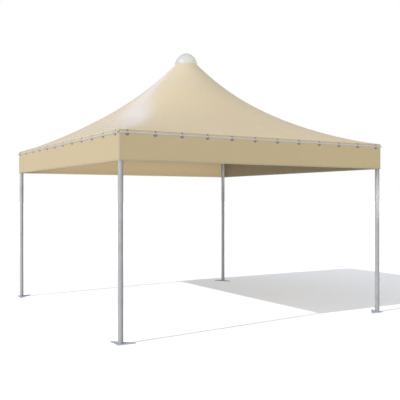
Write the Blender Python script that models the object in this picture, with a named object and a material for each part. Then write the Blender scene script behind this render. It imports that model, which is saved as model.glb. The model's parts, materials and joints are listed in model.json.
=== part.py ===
"""A square tent with a peaked roof, 4 m on a side, as one rigid assembly.

Four galvanised posts stand on base plates. Corner connectors join them to the eaves beams and to
four diagonal arms, which meet at a hub in the middle. The hub carries a short mast, and the mast
head holds up the coated-fabric roof. Clamp rails press the roof's edge and the valances to the
beams. Units are metres, +Z is up, and the front looks towards -Y. The origin is on the ground
under the peak.
"""

import math

import bmesh
import bpy
import numpy as np
from mathutils import Matrix, Vector

GAP = 0.0003                 # clearance between touching pieces

# Fabric
SIDE = 4.000                 # outer face of one valance to the outer face of the opposite one
CLOTH = 0.002                # thickness of the roof and the valances as solids
EAVES = 2.358                # fold line where the roof turns down over the beams
VALANCE_FOOT = 2.010         # lower edge of the valances
ROOF_TOP = 3.630             # upper edge of the roof, under the mast head
ROOF_TOP_RADIUS = 0.1605
ROOF_ROWS = 12               # rows of knots from the mast head to the eaves
ROOF_STEPS_PER_SIDE = 14     # knots along one side of the square
HOOP_PULL = 0.0254           # pull round the whole net at the eaves, where the radial pull is 1
HOOP_GRADE = -0.5            # how the hoop pull changes with the row
RADIAL_GRADE = 0.3           # how the radial pull changes with the row

# Posts and their base plates
POST_DIAMETER = 0.0603
POST_WALL = 0.0029
PLATE_LEG = 0.230             # side of the three-cornered plate, before its tips are cut
PLATE_TIP = 0.010             # cut off each of its two sharp tips
PLATE_MARGIN = 0.060          # from the post's axis out to the plate's two straight edges
PLATE_THICKNESS = 0.008
ANCHOR_HOLE = 0.014
ANCHOR_PLACES = ((-0.036, -0.036), (0.100, -0.036), (-0.036, 0.100))
STUB_HEIGHT = 0.120          # tube on the base plate that the post slips over
STUB_WALL = 0.003

# Eaves beams, corner connectors, arms, hub and mast
BEAM_SIZE = 0.050
BEAM_WALL = 0.002
CONNECTOR_SIDE = 0.100
CONNECTOR_CHAMFER = 0.050    # cut corner that faces the middle of the tent
SPIGOT_LENGTH = 0.080        # how far a spigot reaches into its tube
SPIGOT_ROOT = 0.015          # how far a spigot is set into the block that carries it
ARM_DIAMETER = 0.0483
ARM_WALL = 0.0025
HUB_ACROSS_FLATS = 0.150
MAST_DIAMETER = 0.0603
MAST_WALL = 0.0029

# Mast head and peak cap
HEAD_RADIUS = 0.1652
HEAD_THICKNESS = 0.006
HEAD_HOLE_DIAMETER = 0.060
HEAD_HOLE_CIRCLE = 0.100     # radius on which the four lightening holes lie
CAP_RADIUS = 0.1685
CAP_HEIGHT = 0.175
CAP_WALL = 0.003
CAP_RIM = 0.010              # upright band at the foot of the dome
CAP_ROUND_STEPS = 24
CAP_PROFILE_STEPS = 6

# Clamp rails with their saddle clips
RAIL_DIAMETER = 0.0213
RAIL_WALL = 0.002
RAIL_HEIGHT = 2.320          # height of the rail's axis
CLIPS_PER_RAIL = 12
CLIP_PITCH = 0.346
CLIP_WIDTH = 0.020
CLIP_ROOT = 0.004            # thickness of the wedge-shaped tabs where they leave the saddle
CLIP_OVER = 0.0025           # how far the saddle stands over the rail
CLIP_TOP = 0.024             # tip of the upper tab above the rail's axis
CLIP_FOOT = 0.033            # tip of the lower tab below the rail's axis
RAIL_STEPS = 8               # flat sides of the rail, one for each corner of a clip

# Rods in the upright corner seams between two valances
ROD_DIAMETER = 0.008

# Heights and distances that follow
FACE = SIDE / 2
FRAME_FACE = FACE - CLOTH - GAP
POST_AXIS = FRAME_FACE - POST_DIAMETER / 2
BEAM_TOP = EAVES - CLOTH - GAP
BEAM_FOOT = BEAM_TOP - BEAM_SIZE
BEAM_AXIS_HEIGHT = BEAM_TOP - BEAM_SIZE / 2
BEAM_AXIS = FRAME_FACE - BEAM_SIZE / 2
CONNECTOR_INNER = FRAME_FACE - CONNECTOR_SIDE
HEAD_FOOT = ROOF_TOP + GAP
RAIL_AXIS = FACE + GAP + RAIL_DIAMETER / 2

QUARTER = math.pi / 2
SIDES = ("front", "right", "back", "left")
CORNERS = ("front_left", "front_right", "back_right", "back_left")


def clear_scene():
    """Remove whatever the scene holds."""
    for obj in list(bpy.data.objects):
        bpy.data.objects.remove(obj, do_unlink=True)


def finish(name, colour, roughness, metallic):
    """Make a Principled material from a linear colour."""
    material = bpy.data.materials.new(name)
    material.use_nodes = True
    shader = material.node_tree.nodes["Principled BSDF"]
    shader.inputs["Base Color"].default_value = (*colour, 1.0)
    shader.inputs["Roughness"].default_value = roughness
    shader.inputs["Metallic"].default_value = metallic
    return material


def mesh_from(bm, name):
    """Turn a bmesh into a mesh with its faces pointing out."""
    bmesh.ops.recalc_face_normals(bm, faces=bm.faces)
    mesh = bpy.data.meshes.new(name)
    bm.to_mesh(mesh)
    bm.free()
    return mesh


def add_object(name, mesh, material=None, turn=0.0):
    """Put a mesh in the scene, turned about the tent's upright axis."""
    obj = bpy.data.objects.new(name, mesh)
    obj.rotation_euler = (0.0, 0.0, turn)
    if material is not None and not mesh.materials:
        mesh.materials.append(material)
    bpy.context.scene.collection.objects.link(obj)
    return obj


def shade_round(mesh):
    """Shade curved walls smooth and keep the edges crisp."""
    mesh.shade_smooth()
    mesh.set_sharp_from_angle(angle=math.radians(35))


def with_booleans(mesh, operands):
    """Return the mesh after unions and cuts; operands holds pairs of an operation and a mesh."""
    body = add_object("work_body", mesh)
    tools = []
    for operation, tool_mesh in operands:
        tool = add_object("work_tool", tool_mesh)
        tool.hide_render = True
        tool.display_type = "WIRE"
        modifier = body.modifiers.new(operation.lower(), "BOOLEAN")
        modifier.operation = operation
        modifier.solver = "EXACT"
        modifier.object = tool
        tools.append(tool)
    graph = bpy.context.evaluated_depsgraph_get()
    result = bpy.data.meshes.new_from_object(body.evaluated_get(graph))
    for obj in tools + [body]:
        bpy.data.objects.remove(obj, do_unlink=True)
    return result


def add_prism(bm, outline, height, place=Matrix.Identity(4)):
    """Add an outline in the XY plane, drawn up by height along Z and then placed."""
    foot = [bm.verts.new((x, y, 0.0)) for x, y in outline]
    face = bm.faces.new(foot)
    raised = bmesh.ops.extrude_face_region(bm, geom=[face])["geom"]
    top = [item for item in raised if isinstance(item, bmesh.types.BMVert)]
    bmesh.ops.translate(bm, verts=top, vec=(0.0, 0.0, height))
    bmesh.ops.transform(bm, verts=foot + top, matrix=place)


def circle(radius, steps):
    """Points of a regular polygon on a circle, with a flat side towards +X."""
    angles = [2 * math.pi * (step + 0.5) / steps for step in range(steps)]
    return [(radius * math.cos(angle), radius * math.sin(angle)) for angle in angles]


def square(side):
    """Corner points of a square round the origin."""
    half = side / 2
    return [(half, -half), (half, half), (-half, half), (-half, -half)]


def add_skin(bm, rings):
    """Join each ring of points to the next, and the last to the first, with four-sided faces."""
    loops = [[bm.verts.new(point) for point in ring] for ring in rings]
    for loop, next_loop in zip(loops, loops[1:] + loops[:1]):
        for step, vert in enumerate(loop):
            after = (step + 1) % len(loop)
            bm.faces.new((vert, loop[after], next_loop[after], next_loop[step]))


def add_tube(bm, outer, inner, length, place):
    """Add a hollow bar between two outlines with as many points each, open at both ends."""
    sections = ((outer, 0.0), (outer, length), (inner, length), (inner, 0.0))
    rings = [[place @ Vector((x, y, level)) for x, y in outline] for outline, level in sections]
    add_skin(bm, rings)


def along(direction, start):
    """Placement that sends +Z along a level or upright direction from a start point."""
    turn = Vector(direction).to_track_quat("Z", "Y").to_matrix().to_4x4()
    return Matrix.Translation(start) @ turn


def round_tube(name, diameter, wall, steps, length, place):
    """Mesh of a round tube."""
    bm = bmesh.new()
    add_tube(bm, circle(diameter / 2, steps), circle(diameter / 2 - wall, steps), length, place)
    mesh = mesh_from(bm, name)
    shade_round(mesh)
    return mesh


def plate_outline():
    """Three-cornered outline of a foot plate round its post, square in the tent's corner."""
    edge = -PLATE_MARGIN
    tip = PLATE_LEG - PLATE_MARGIN - PLATE_TIP
    return [(edge, edge), (tip, edge), (tip, edge + PLATE_TIP), (edge + PLATE_TIP, tip), (edge, tip)]


def base_plate_mesh():
    """Foot plate with three anchor holes and the stub that carries the post."""
    centre = Vector((-POST_AXIS, -POST_AXIS, 0.0))
    plate = bmesh.new()
    add_prism(plate, plate_outline(), PLATE_THICKNESS, Matrix.Translation(centre))
    holes = bmesh.new()
    for x, y in ANCHOR_PLACES:
        foot = Matrix.Translation(centre + Vector((x, y, -PLATE_THICKNESS)))
        add_prism(holes, circle(ANCHOR_HOLE / 2, 8), 3 * PLATE_THICKNESS, foot)
    stub = bmesh.new()
    radius = POST_DIAMETER / 2 - POST_WALL - GAP
    root = Matrix.Translation(centre + Vector((0.0, 0.0, PLATE_THICKNESS / 2)))
    length = STUB_HEIGHT + PLATE_THICKNESS / 2
    add_tube(stub, circle(radius, 16), circle(radius - STUB_WALL, 16), length, root)
    mesh = with_booleans(mesh_from(plate, "base_plate"), [
        ("UNION", mesh_from(stub, "stub")),
        ("DIFFERENCE", mesh_from(holes, "anchor_holes")),
    ])
    shade_round(mesh)
    return mesh


def post_mesh():
    """Round post between the base plate and the corner connector."""
    foot = PLATE_THICKNESS + GAP
    length = BEAM_FOOT - GAP - foot
    place = Matrix.Translation((-POST_AXIS, -POST_AXIS, foot))
    return round_tube("post", POST_DIAMETER, POST_WALL, 16, length, place)


def arm_outer_end():
    """Distance from the tent's axis to the chamfer of a corner connector, on the diagonal."""
    return (CONNECTOR_INNER + CONNECTOR_CHAMFER / 2) * math.sqrt(2)


def connector_mesh():
    """Corner block with spigots for the post, two beams and an arm."""
    block = bmesh.new()
    outer, inner, cut = -FRAME_FACE, -CONNECTOR_INNER, -CONNECTOR_INNER - CONNECTOR_CHAMFER
    outline = [(outer, outer), (inner, outer), (inner, cut), (cut, inner), (outer, inner)]
    add_prism(block, outline, BEAM_SIZE, Matrix.Translation((0.0, 0.0, BEAM_FOOT)))
    spigots = bmesh.new()
    reach = SPIGOT_LENGTH + SPIGOT_ROOT
    post_bore = POST_DIAMETER / 2 - POST_WALL - GAP
    down = along((0, 0, -1), (-POST_AXIS, -POST_AXIS, BEAM_FOOT + SPIGOT_ROOT))
    add_prism(spigots, circle(post_bore, 16), reach, down)
    beam_bore = BEAM_SIZE - 2 * BEAM_WALL - 2 * GAP
    root = inner - SPIGOT_ROOT
    to_right = along((1, 0, 0), (root, -BEAM_AXIS, BEAM_AXIS_HEIGHT))
    to_back = along((0, 1, 0), (-BEAM_AXIS, root, BEAM_AXIS_HEIGHT))
    add_prism(spigots, square(beam_bore), reach, to_right)
    add_prism(spigots, square(beam_bore), reach, to_back)
    arm_bore = ARM_DIAMETER / 2 - ARM_WALL - GAP
    diagonal = Vector((1.0, 1.0, 0.0)).normalized()
    start = -diagonal * (arm_outer_end() + SPIGOT_ROOT) + Vector((0.0, 0.0, BEAM_AXIS_HEIGHT))
    add_prism(spigots, circle(arm_bore, 12), reach, along(diagonal, start))
    mesh = with_booleans(mesh_from(block, "connector"), [("UNION", mesh_from(spigots, "spigots"))])
    shade_round(mesh)
    return mesh


def beam_mesh():
    """Square eaves beam along the front, between two corner connectors."""
    bm = bmesh.new()
    start = -CONNECTOR_INNER + GAP
    place = along((1, 0, 0), (start, -BEAM_AXIS, BEAM_AXIS_HEIGHT))
    inner = square(BEAM_SIZE - 2 * BEAM_WALL)
    add_tube(bm, square(BEAM_SIZE), inner, -2 * start, place)
    return mesh_from(bm, "eaves_beam")


def arm_mesh():
    """Round arm from the hub to the front left connector."""
    inner_end = HUB_ACROSS_FLATS / 2 + GAP
    length = arm_outer_end() - GAP - inner_end
    direction = Vector((-1.0, -1.0, 0.0)).normalized()
    start = direction * inner_end + Vector((0.0, 0.0, BEAM_AXIS_HEIGHT))
    return round_tube("arm", ARM_DIAMETER, ARM_WALL, 12, length, along(direction, start))


def hub_mesh():
    """Eight-sided hub with spigots for the four arms and the mast."""
    block = bmesh.new()
    radius = HUB_ACROSS_FLATS / 2 / math.cos(math.pi / 8)
    add_prism(block, circle(radius, 8), BEAM_SIZE, Matrix.Translation((0.0, 0.0, BEAM_FOOT)))
    spigots = bmesh.new()
    reach = SPIGOT_LENGTH + SPIGOT_ROOT
    arm_bore = ARM_DIAMETER / 2 - ARM_WALL - GAP
    for quarter in range(4):
        turn = QUARTER * (quarter + 0.5)
        direction = Vector((math.cos(turn), math.sin(turn), 0.0))
        start = direction * (HUB_ACROSS_FLATS / 2 - SPIGOT_ROOT)
        start.z = BEAM_AXIS_HEIGHT
        add_prism(spigots, circle(arm_bore, 12), reach, along(direction, start))
    mast_bore = MAST_DIAMETER / 2 - MAST_WALL - GAP
    root = Matrix.Translation((0.0, 0.0, BEAM_TOP - SPIGOT_ROOT))
    add_prism(spigots, circle(mast_bore, 16), reach, root)
    mesh = with_booleans(mesh_from(block, "hub"), [("UNION", mesh_from(spigots, "hub_spigots"))])
    shade_round(mesh)
    return mesh


def mast_mesh():
    """Short mast from the hub to the mast head."""
    foot = BEAM_TOP + GAP
    place = Matrix.Translation((0.0, 0.0, foot))
    return round_tube("mast", MAST_DIAMETER, MAST_WALL, 16, HEAD_FOOT - GAP - foot, place)


def mast_head_mesh():
    """Round plate on the mast, with a spigot below and four lightening holes."""
    plate = bmesh.new()
    foot = Matrix.Translation((0.0, 0.0, HEAD_FOOT))
    add_prism(plate, circle(HEAD_RADIUS, CAP_ROUND_STEPS), HEAD_THICKNESS, foot)
    spigot = bmesh.new()
    bore = MAST_DIAMETER / 2 - MAST_WALL - GAP
    root = along((0, 0, -1), (0.0, 0.0, HEAD_FOOT + HEAD_THICKNESS / 2))
    add_prism(spigot, circle(bore, 16), SPIGOT_LENGTH + HEAD_THICKNESS / 2, root)
    holes = bmesh.new()
    for x, y in square(HEAD_HOLE_CIRCLE * math.sqrt(2)):
        hole_foot = Matrix.Translation((x, y, HEAD_FOOT - HEAD_THICKNESS))
        add_prism(holes, circle(HEAD_HOLE_DIAMETER / 2, 12), 3 * HEAD_THICKNESS, hole_foot)
    mesh = with_booleans(mesh_from(plate, "mast_head"), [
        ("UNION", mesh_from(spigot, "head_spigot")),
        ("DIFFERENCE", mesh_from(holes, "head_holes")),
    ])
    shade_round(mesh)
    return mesh


def cap_profile(radius, height):
    """Upright section of the cap, from its rim to the point on top."""
    points = [Vector((radius, 0.0, 0.0))]
    dome = height - CAP_RIM
    for step in range(CAP_PROFILE_STEPS + 1):
        angle = QUARTER * step / CAP_PROFILE_STEPS
        points.append(Vector((radius * math.cos(angle), 0.0, CAP_RIM + dome * math.sin(angle))))
    points[-1].x = 0.0
    return points


def cap_mesh():
    """Domed cap over the mast head: a spun shell, open below."""
    bm = bmesh.new()
    outer = cap_profile(CAP_RADIUS, CAP_HEIGHT)
    inner = cap_profile(CAP_RADIUS - CAP_WALL, CAP_HEIGHT - CAP_WALL)
    section = [bm.verts.new(point) for point in reversed(outer)]
    section += [bm.verts.new(point) for point in inner]
    edges = [bm.edges.new(pair) for pair in zip(section, section[1:])]
    bmesh.ops.spin(bm, geom=section + edges, axis=(0, 0, 1), cent=(0, 0, 0), dvec=(0, 0, 0),
                   angle=2 * math.pi, steps=CAP_ROUND_STEPS, use_merge=True, use_duplicate=False)
    bmesh.ops.remove_doubles(bm, verts=bm.verts, dist=1e-6)
    half_step = Matrix.Rotation(math.pi / CAP_ROUND_STEPS, 4, "Z")
    lift = Matrix.Translation((0.0, 0.0, HEAD_FOOT + GAP))
    bmesh.ops.transform(bm, verts=bm.verts, matrix=lift @ half_step)
    mesh = mesh_from(bm, "peak_cap")
    shade_round(mesh)
    return mesh


def roof_edges():
    """Knots on the mast head and on the eaves, round the tent from the front left corner."""
    count = 4 * ROOF_STEPS_PER_SIDE
    corner = np.array([(-FACE, -FACE), (FACE, -FACE), (FACE, FACE), (-FACE, FACE)])
    knot = np.arange(count)
    side = knot // ROOF_STEPS_PER_SIDE
    share = (knot % ROOF_STEPS_PER_SIDE / ROOF_STEPS_PER_SIDE)[:, None]
    square_part = corner[side] * (1 - share) + corner[(side + 1) % 4] * share
    eaves = np.column_stack([square_part, np.full(count, EAVES)])
    angle = -0.75 * math.pi + 2 * math.pi * knot / count
    ring = np.column_stack([
        ROOF_TOP_RADIUS * np.cos(angle),
        ROOF_TOP_RADIUS * np.sin(angle),
        np.full(count, ROOF_TOP),
    ])
    return ring, eaves


def stretched_roof():
    """Rest shape of the fabric as a net of pulled threads between the mast head and the eaves.

    Each inner knot is at rest where the pulls of its two radial and two hoop threads cancel,
    which is one linear equation a knot. The fabric then has the saddle shape of a real
    stretched roof: its hips hollow and its sides nearly straight.
    """
    ring, eaves = roof_edges()
    around = len(ring)
    inner_rows = ROOF_ROWS - 1
    fineness = (around / ROOF_ROWS) ** 2
    pull = np.zeros((inner_rows * around, inner_rows * around))
    load = np.zeros((inner_rows * around, 3))
    for row in range(1, ROOF_ROWS):
        hoop = HOOP_PULL * fineness * (row / ROOF_ROWS) ** HOOP_GRADE
        for knot in range(around):
            here = (row - 1) * around + knot
            for next_row in (row - 1, row + 1):
                radial = ((row + next_row) / 2 / ROOF_ROWS) ** RADIAL_GRADE
                pull[here, here] += radial
                if next_row == 0:
                    load[here] += radial * ring[knot]
                elif next_row == ROOF_ROWS:
                    load[here] += radial * eaves[knot]
                else:
                    pull[here, (next_row - 1) * around + knot] -= radial
            for next_knot in ((knot - 1) % around, (knot + 1) % around):
                pull[here, here] += hoop
                pull[here, (row - 1) * around + next_knot] -= hoop
    knots = np.linalg.solve(pull, load).reshape(inner_rows, around, 3)
    return [ring, *knots, eaves]


def whole_roof():
    """Roof fabric with its edge turned down to the clamp rails, as one curved sheet."""
    rows = stretched_roof()
    hem = rows[-1].copy()
    hem[:, 2] = RAIL_HEIGHT
    rows.append(hem)
    bm = bmesh.new()
    verts = [[bm.verts.new(knot) for knot in row] for row in rows]
    around = len(verts[0])
    for upper, lower in zip(verts, verts[1:]):
        for knot in range(around):
            after = (knot + 1) % around
            bm.faces.new((upper[knot], lower[knot], lower[after], upper[after]))
    roof = add_object("work_roof", mesh_from(bm, "whole_roof"))
    sheet = roof.modifiers.new("fabric", "SOLIDIFY")
    sheet.thickness = CLOTH
    sheet.offset = -1.0
    sheet.use_even_offset = True
    sheet.use_quality_normals = True
    graph = bpy.context.evaluated_depsgraph_get()
    mesh = bpy.data.meshes.new_from_object(roof.evaluated_get(graph))
    bpy.data.objects.remove(roof, do_unlink=True)
    return mesh


def roof_panel_mesh():
    """Front quarter of the roof, from hip to hip, as one of its four panels."""
    bm = bmesh.new()
    bm.from_mesh(whole_roof())
    for across in (-1.0, 1.0):
        away = Vector((across, 1.0, 0.0)).normalized()
        everything = bm.verts[:] + bm.edges[:] + bm.faces[:]
        bmesh.ops.bisect_plane(bm, geom=everything, dist=1e-6, plane_co=-away * GAP / 2,
                               plane_no=away, clear_outer=True)
        rim = [edge for edge in bm.edges if edge.is_boundary]
        bmesh.ops.holes_fill(bm, edges=rim, sides=0)
    mesh = mesh_from(bm, "roof_panel")
    shade_round(mesh)
    return mesh


def valance_mesh():
    """Hanging strip below the front eaves, from corner rod to corner rod."""
    bm = bmesh.new()
    length = SIDE - 2 * ROD_DIAMETER - 2 * GAP
    height = RAIL_HEIGHT - GAP - VALANCE_FOOT
    outline = [(-length / 2, -FACE), (length / 2, -FACE)]
    outline += [(length / 2, -FACE + CLOTH), (-length / 2, -FACE + CLOTH)]
    add_prism(bm, outline, height, Matrix.Translation((0.0, 0.0, VALANCE_FOOT)))
    return mesh_from(bm, "valance")


def corner_rod_mesh():
    """Slim rod in the upright corner seam, under the connector."""
    bm = bmesh.new()
    axis = -FACE + ROD_DIAMETER / 2
    height = BEAM_FOOT - GAP - VALANCE_FOOT
    place = Matrix.Translation((axis, axis, VALANCE_FOOT))
    add_prism(bm, circle(ROD_DIAMETER / 2, 8), height, place)
    mesh = mesh_from(bm, "corner_rod")
    shade_round(mesh)
    return mesh


def clip_outline():
    """Section of a saddle clip: distance out from the rail's axis and height above it."""
    out = RAIL_DIAMETER / 2 + CLIP_OVER
    slope = RAIL_DIAMETER / 4
    back = -RAIL_DIAMETER / 2
    root = back + CLIP_ROOT
    return [
        (out, out - slope),
        (out - slope, out),
        (root, out),
        (back, CLIP_TOP),
        (back, -CLIP_FOOT),
        (root, -out),
        (out - slope, -out),
        (out, -out + slope),
    ]


def rail_mesh():
    """Clamp rail along the front, one hollow bar that swells into a saddle at each clip."""
    plain = circle(RAIL_DIAMETER / 2, RAIL_STEPS)
    bore = circle(RAIL_DIAMETER / 2 - RAIL_WALL, RAIL_STEPS)
    saddle = clip_outline()
    end = FACE - GAP
    sections = [(-end, plain)]
    for clip in range(CLIPS_PER_RAIL):
        centre = (clip - (CLIPS_PER_RAIL - 1) / 2) * CLIP_PITCH
        left, right = centre - CLIP_WIDTH / 2, centre + CLIP_WIDTH / 2
        sections += [(left, plain), (left, saddle), (right, saddle), (right, plain)]
    sections += [(end, plain), (end, bore), (-end, bore)]
    rings = []
    for station, outline in sections:
        rings.append([Vector((station, -RAIL_AXIS - out, RAIL_HEIGHT + up)) for out, up in outline])
    bm = bmesh.new()
    add_skin(bm, rings)
    mesh = mesh_from(bm, "clamp_rail")
    shade_round(mesh)
    return mesh


def add_ring_of(names, prefix, mesh, material):
    """Add one copy of a mesh for each side or corner, a quarter turn apart."""
    for quarter, place in enumerate(names):
        add_object(f"{prefix}_{place}", mesh, material, QUARTER * quarter)


def build():
    """Build every piece of the tent."""
    clear_scene()
    zinc = finish("galvanised_tube", (0.52, 0.53, 0.54), 0.38, 0.9)
    dull_zinc = finish("galvanised_plate", (0.43, 0.45, 0.48), 0.5, 0.9)
    rail_zinc = finish("galvanised_rail", (0.50, 0.49, 0.49), 0.42, 0.9)
    roof_cloth = finish("roof_fabric", (0.70, 0.60, 0.43), 0.42, 0.0)
    valance_cloth = finish("valance_fabric", (0.60, 0.50, 0.33), 0.48, 0.0)
    rod_metal = finish("corner_rod_metal", (0.46, 0.45, 0.43), 0.45, 0.8)
    moulded = finish("cap_plastic", (0.74, 0.74, 0.74), 0.35, 0.0)

    add_ring_of(CORNERS, "base_plate", base_plate_mesh(), dull_zinc)
    add_ring_of(CORNERS, "post", post_mesh(), zinc)
    add_ring_of(CORNERS, "corner_connector", connector_mesh(), dull_zinc)
    add_ring_of(SIDES, "eaves_beam", beam_mesh(), zinc)
    add_ring_of(CORNERS, "roof_arm", arm_mesh(), zinc)
    add_object("mast_hub", hub_mesh(), dull_zinc)
    add_object("mast", mast_mesh(), zinc)
    add_object("mast_head", mast_head_mesh(), dull_zinc)
    add_ring_of(SIDES, "roof_panel", roof_panel_mesh(), roof_cloth)
    add_object("peak_cap", cap_mesh(), moulded)
    add_ring_of(SIDES, "valance", valance_mesh(), valance_cloth)
    add_ring_of(CORNERS, "corner_rod", corner_rod_mesh(), rod_metal)
    add_ring_of(SIDES, "clamp_rail", rail_mesh(), rail_zinc)


build()
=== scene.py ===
"""Square marquee with a stretched, peaked fabric roof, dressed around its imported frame.

The frame gives the place of every piece, in metres, with +Z up and the front towards -Y. Each
sub-assembly is a class below. Pieces that run round the tent are modelled once at the front, or
at the front left corner, and then turned by quarter turns about the tent's upright axis.
"""

import json
import logging
import math
from collections.abc import Callable, Iterable
from dataclasses import dataclass, field
from enum import Enum

import bmesh
import bpy
import numpy as np
from bmesh.types import BMEdge, BMesh, BMVert
from bpy.types import Material, Node, NodeSocket, NodeTree, Object
from mathutils import Matrix, Vector

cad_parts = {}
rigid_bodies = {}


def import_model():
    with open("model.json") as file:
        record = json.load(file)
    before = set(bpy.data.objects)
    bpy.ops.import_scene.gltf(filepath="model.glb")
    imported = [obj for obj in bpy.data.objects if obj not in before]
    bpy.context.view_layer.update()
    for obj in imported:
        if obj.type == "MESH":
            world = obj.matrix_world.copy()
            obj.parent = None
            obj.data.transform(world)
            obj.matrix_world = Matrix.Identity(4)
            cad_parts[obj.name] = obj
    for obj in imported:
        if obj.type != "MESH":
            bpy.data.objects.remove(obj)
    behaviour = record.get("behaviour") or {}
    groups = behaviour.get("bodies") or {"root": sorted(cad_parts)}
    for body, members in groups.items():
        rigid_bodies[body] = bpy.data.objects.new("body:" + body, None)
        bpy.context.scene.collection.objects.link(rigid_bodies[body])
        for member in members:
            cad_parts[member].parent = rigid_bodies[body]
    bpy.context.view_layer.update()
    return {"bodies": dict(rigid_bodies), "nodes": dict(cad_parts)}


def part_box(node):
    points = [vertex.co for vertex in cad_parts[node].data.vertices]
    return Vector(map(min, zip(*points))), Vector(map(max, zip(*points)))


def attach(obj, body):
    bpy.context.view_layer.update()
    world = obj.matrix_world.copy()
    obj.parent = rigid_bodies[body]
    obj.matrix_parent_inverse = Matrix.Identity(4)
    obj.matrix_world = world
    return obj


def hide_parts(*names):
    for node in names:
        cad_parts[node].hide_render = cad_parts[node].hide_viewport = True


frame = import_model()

LOG = logging.getLogger("marquee")
BODY = "root"
QUARTER = math.pi / 2
PHOTO_PIXELS = 400
THREADS = "threads"
# A wave texture repeats every 2 pi / (20 scale) metres, so this over a spacing in mm is its scale.
WAVE_SCALE_MM = 1000 * math.pi / 10
# Points nearer to each other than this are one point.
TOUCH = 1e-6


class Side(Enum):
    """Sides of the tent, in quarter turns from the front."""

    front = 0
    right = 1
    back = 2
    left = 3


class Corner(Enum):
    """Corners of the tent, in quarter turns from the front left one."""

    front_left = 0
    front_right = 1
    back_right = 2
    back_left = 3


class Slot(Enum):
    """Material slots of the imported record."""

    ROOF = "roof_fabric"
    VALANCE = "valance_fabric"
    TUBE = "galvanised_tube"
    PLATE = "galvanised_plate"
    RAIL = "galvanised_rail"
    ROD = "corner_rod_metal"
    CAP = "cap_plastic"


def linear(hex_colour: str) -> tuple[float, float, float, float]:
    """Turn an sRGB hex colour into linear values.

    Args:
        hex_colour: Six hex digits with a leading sign, such as "#BBAB8A".

    Returns:
        Linear red, green, blue and an alpha of 1.
    """
    channels = [int(hex_colour[place:place + 2], 16) / 255 for place in (1, 3, 5)]
    red, green, blue = (
        value / 12.92 if value <= 0.04045 else ((value + 0.055) / 1.055) ** 2.4
        for value in channels
    )
    return red, green, blue, 1.0


def add_node(
    tree: NodeTree,
    kind: str,
    values: dict[str | int, object] | None = None,
    links: dict[str | int, NodeSocket] | None = None,
    **settings: object,
) -> Node:
    """Add a node with its settings, socket values and incoming links.

    Args:
        tree: Node tree that gets the node.
        kind: Blender's name of the node type.
        values: Values for input sockets, by name or number.
        links: Output sockets to join to input sockets, by name or number.
        settings: Properties of the node itself.

    Returns:
        The new node.
    """
    node = tree.nodes.new(kind)
    for name, value in settings.items():
        setattr(node, name, value)
    for socket, value in (values or {}).items():
        node.inputs[socket].default_value = value
    for socket, source in (links or {}).items():
        tree.links.new(source, node.inputs[socket])
    return node


def shader_of(material: Material) -> Node:
    """Return the Principled shader of a material."""
    return material.node_tree.nodes["Principled BSDF"]


def new_material(name: str, constants: dict[str, object]) -> Material:
    """Make a material whose shader has the given constant values.

    Args:
        name: Name of the real material.
        constants: Values for the shader's own sockets.

    Returns:
        The new material, with its node tree ready for patterns.
    """
    material = bpy.data.materials.new(name)
    material.use_nodes = True
    shader = shader_of(material)
    for socket, value in constants.items():
        shader.inputs[socket].default_value = value
    return material


@dataclass(frozen=True)
class Finish:
    """What every patterned finish of the tent has.

    Attributes:
        name: Name of the material.
        colour: Main colour, as sRGB hex.
        roughness: Mean roughness.
        swing: How far the roughness strays down and up from its mean.
        relief: Strength of the pattern's relief, and its height in metres.
    """

    name: str
    colour: str
    roughness: float
    swing: tuple[float, float] = (-0.05, 0.05)
    relief: tuple[float, float] = (0.1, 0.0003)

    def start(self, constants: dict[str, object]) -> tuple[Material, NodeTree, NodeSocket]:
        """Make the material, before its patterns.

        Args:
            constants: Values for the shader's own sockets.

        Returns:
            The material, its node tree, and the output that gives places on the piece.
        """
        material = new_material(self.name, constants)
        place = add_node(material.node_tree, "ShaderNodeTexCoord").outputs["Object"]
        return material, material.node_tree, place

    def end(self, material: Material, gloss: NodeSocket, height: NodeSocket) -> Material:
        """Give the material its uneven gloss and its relief.

        Args:
            material: Material that gets them.
            gloss: Pattern that the roughness follows.
            height: Pattern that the relief follows.

        Returns:
            The same material.
        """
        tree, shader = material.node_tree, shader_of(material)
        low, high = (self.roughness + stray for stray in self.swing)
        uneven = add_node(
            tree, "ShaderNodeMapRange", {"To Min": low, "To Max": high}, {"Value": gloss})
        bump = add_node(
            tree, "ShaderNodeBump", {"Strength": self.relief[0], "Distance": self.relief[1]},
            {"Height": height})
        tree.links.new(uneven.outputs["Result"], shader.inputs["Roughness"])
        tree.links.new(bump.outputs["Normal"], shader.inputs["Normal"])
        return material


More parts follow.
